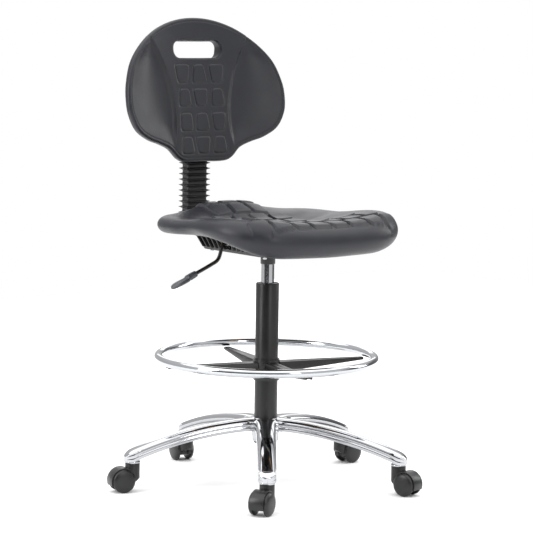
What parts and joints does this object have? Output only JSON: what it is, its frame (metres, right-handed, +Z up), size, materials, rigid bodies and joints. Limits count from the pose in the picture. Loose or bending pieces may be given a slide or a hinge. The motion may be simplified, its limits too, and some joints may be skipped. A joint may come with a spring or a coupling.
{
  "type": "drafting chair",
  "caption": "Tall swivel drafting chair with moulded seat and back, sleeved back bar, adjustable foot ring, gas column and a five-star base on twin-wheel casters.",
  "frame": {"origin": "on the floor under the column's axis", "axes": "+Z up, the sitter faces -Y, +X to the sitter's left"},
  "size_m": [0.6761, 0.6488, 1.0024],
  "materials": {
    "polished_aluminium": "polished die-cast aluminium, bright plated look",
    "black_powder_coat": "satin black powder coat",
    "chromed_steel": "bright chrome plate",
    "bright_steel": "ground and zinc plated steel",
    "grey_bush_plastic": "plain moulded acetal",
    "black_moulded_plastic": "fine-textured moulded polypropylene",
    "lever_grey_plastic": "smooth moulded grey nylon",
    "caster_nylon": "satin moulded nylon",
    "bellows_rubber": "soft moulded rubber",
    "self_skinned_polyurethane": "moulded self-skinning foam with a fine grain",
    "plywood_insert": "plain birch plywood"
  },
  "bodies": {
    "base": {"star_base": "polished_aluminium", "column_tube": "black_powder_coat", "column_bush": "grey_bush_plastic", "thrust_bearing": "bright_steel", "caster_stems": "bright_steel", "stem_rings": "bright_steel"},
    "lift_rod": {"piston_rod": "bright_steel", "retaining_clip": "bright_steel"},
    "seat_frame": {"gas_cylinder": "chromed_steel", "seat_mechanism": "black_powder_coat", "cone_socket": "black_powder_coat", "under_seat_pan": "black_moulded_plastic", "seat_insert": "plywood_insert", "seat_cushion": "self_skinned_polyurethane", "seat_bolts": "bright_steel", "pan_screws": "bright_steel", "back_bracket": "black_powder_coat", "back_pivot_pin": "bright_steel"},
    "release": {"release_button": "bright_steel"},
    "height_lever": {"height_lever_rod": "black_powder_coat", "height_lever_paddle": "lever_grey_plastic"},
    "tilt_clamp": {"tilt_knob": "black_moulded_plastic"},
    "back_bar": {"back_bar": "black_powder_coat", "bellows": "bellows_rubber"},
    "backrest": {"back_slide_housing": "black_moulded_plastic", "back_insert": "bright_steel", "back_cushion": "self_skinned_polyurethane", "back_bolts": "bright_steel"},
    "back_clamp": {"back_height_knob": "black_moulded_plastic"},
    "footring": {"footring_tube": "chromed_steel", "footring_spider": "black_powder_coat", "footring_hub": "black_powder_coat", "footring_liner": "grey_bush_plastic"},
    "footring_clamp": {"footring_knob": "black_moulded_plastic"},
    "caster_1_swivel": {"caster_1_hood": "caster_nylon", "caster_1_axle": "bright_steel"},
    "caster_1_left": {"caster_1_wheel_left": "caster_nylon"},
    "caster_1_right": {"caster_1_wheel_right": "caster_nylon"},
    "caster_2_swivel": {"caster_2_hood": "caster_nylon", "caster_2_axle": "bright_steel"},
    "caster_2_left": {"caster_2_wheel_left": "caster_nylon"},
    "caster_2_right": {"caster_2_wheel_right": "caster_nylon"},
    "caster_3_swivel": {"caster_3_hood": "caster_nylon", "caster_3_axle": "bright_steel"},
    "caster_3_left": {"caster_3_wheel_left": "caster_nylon"},
    "caster_3_right": {"caster_3_wheel_right": "caster_nylon"},
    "caster_4_swivel": {"caster_4_hood": "caster_nylon", "caster_4_axle": "bright_steel"},
    "caster_4_left": {"caster_4_wheel_left": "caster_nylon"},
    "caster_4_right": {"caster_4_wheel_right": "caster_nylon"},
    "caster_5_swivel": {"caster_5_hood": "caster_nylon", "caster_5_axle": "bright_steel"},
    "caster_5_left": {"caster_5_wheel_left": "caster_nylon"},
    "caster_5_right": {"caster_5_wheel_right": "caster_nylon"}
  },
  "joints": [
    {"name": "seat_swivel", "type": "hinge", "parent": "base", "child": "lift_rod", "pos_m": [0, 0, 0.3], "axis": [0, 0, 1], "continuous": true},
    {"name": "seat_height", "type": "slide", "parent": "lift_rod", "child": "seat_frame", "axis": [0, 0, 1], "range_m": [-0.025, 0.2]},
    {"name": "release_press", "type": "slide", "parent": "seat_frame", "child": "release", "axis": [0, 0, -1], "range_m": [0, 0.003], "stiffness_N_per_m": 3000, "springref_m": -0.002},
    {"name": "height_lever", "type": "hinge", "parent": "seat_frame", "child": "height_lever", "pos_m": [-0.052, 0.025, 0.53], "axis": [0, 1, 0], "range_deg": [0, 4], "stiffness_Nm_per_rad": 6, "springref_deg": -4.58},
    {"name": "tilt_knob_turn", "type": "hinge", "parent": "seat_frame", "child": "tilt_clamp", "pos_m": [0, 0.132, 0.507], "axis": [0, 0, 1], "range_deg": [-180, 0]},
    {"name": "back_tilt", "type": "hinge", "parent": "seat_frame", "child": "back_bar", "pos_m": [0, 0.112, 0.528], "axis": [1, 0, 0], "range_deg": [-12, 5]},
    {"name": "back_height", "type": "slide", "parent": "back_bar", "child": "backrest", "axis": [0, 0, 1], "range_m": [-0.02, 0.04], "deforming": ["bellows"]},
    {"name": "back_knob_turn", "type": "hinge", "parent": "backrest", "child": "back_clamp", "pos_m": [0, 0.3065, 0.745], "axis": [0, 1, 0], "range_deg": [-180, 0]},
    {"name": "footring_height", "type": "slide", "parent": "base", "child": "footring", "axis": [0, 0, 1], "range_m": [-0.06, 0.12]},
    {"name": "footring_knob_turn", "type": "hinge", "parent": "footring", "child": "footring_clamp", "pos_m": [0.03481, 0.0226, 0.253], "axis": [0.8387, 0.5446, 0], "range_deg": [0, 180]},
    {"name": "caster_1_swivel", "type": "hinge", "parent": "base", "child": "caster_1_swivel", "pos_m": [-0.17575, -0.2419, 0.05], "axis": [0, 0, 1], "continuous": true},
    {"name": "caster_1_left_roll", "type": "hinge", "parent": "caster_1_swivel", "child": "caster_1_left", "pos_m": [-0.19694, -0.25316, 0.025], "axis": [0.4695, -0.8829, 0], "continuous": true},
    {"name": "caster_1_right_roll", "type": "hinge", "parent": "caster_1_swivel", "child": "caster_1_right", "pos_m": [-0.19694, -0.25316, 0.025], "axis": [0.4695, -0.8829, 0], "continuous": true},
    {"name": "caster_2_swivel", "type": "hinge", "parent": "base", "child": "caster_2_swivel", "pos_m": [0.17575, -0.2419, 0.05], "axis": [0, 0, 1], "continuous": true},
    {"name": "caster_2_left_roll", "type": "hinge", "parent": "caster_2_swivel", "child": "caster_2_left", "pos_m": [0.18236, -0.26497, 0.025], "axis": [0.9613, 0.2756, 0], "continuous": true},
    {"name": "caster_2_right_roll", "type": "hinge", "parent": "caster_2_swivel", "child": "caster_2_right", "pos_m": [0.18236, -0.26497, 0.025], "axis": [0.9613, 0.2756, 0], "continuous": true},
    {"name": "caster_3_swivel", "type": "hinge", "parent": "base", "child": "caster_3_swivel", "pos_m": [0.28437, 0.0924, 0.05], "axis": [0, 0, 1], "continuous": true},
    {"name": "caster_3_left_roll", "type": "hinge", "parent": "caster_3_swivel", "child": "caster_3_left", "pos_m": [0.30828, 0.09449, 0.025], "axis": [-0.0872, 0.9962, 0], "continuous": true},
    {"name": "caster_3_right_roll", "type": "hinge", "parent": "caster_3_swivel", "child": "caster_3_right", "pos_m": [0.30828, 0.09449, 0.025], "axis": [-0.0872, 0.9962, 0], "continuous": true},
    {"name": "caster_4_swivel", "type": "hinge", "parent": "base", "child": "caster_4_swivel", "pos_m": [0, 0.299, 0.05], "axis": [0, 0, 1], "continuous": true},
    {"name": "caster_4_left_roll", "type": "hinge", "parent": "caster_4_swivel", "child": "caster_4_left", "pos_m": [0.00334, 0.32277, 0.025], "axis": [-0.9903, 0.1392, 0], "continuous": true},
    {"name": "caster_4_right_roll", "type": "hinge", "parent": "caster_4_swivel", "child": "caster_4_right", "pos_m": [0.00334, 0.32277, 0.025], "axis": [-0.9903, 0.1392, 0], "continuous": true},
    {"name": "caster_5_swivel", "type": "hinge", "parent": "base", "child": "caster_5_swivel", "pos_m": [-0.28437, 0.0924, 0.05], "axis": [0, 0, 1], "continuous": true},
    {"name": "caster_5_left_roll", "type": "hinge", "parent": "caster_5_swivel", "child": "caster_5_left", "pos_m": [-0.30765, 0.0982, 0.025], "axis": [-0.2419, -0.9703, 0], "continuous": true},
    {"name": "caster_5_right_roll", "type": "hinge", "parent": "caster_5_swivel", "child": "caster_5_right", "pos_m": [-0.30765, 0.0982, 0.025], "axis": [-0.2419, -0.9703, 0], "continuous": true}
  ],
  "couplings": [
    {"joint": "release_press", "follows": "height_lever", "m_per_rad": 0.04297}
  ]
}
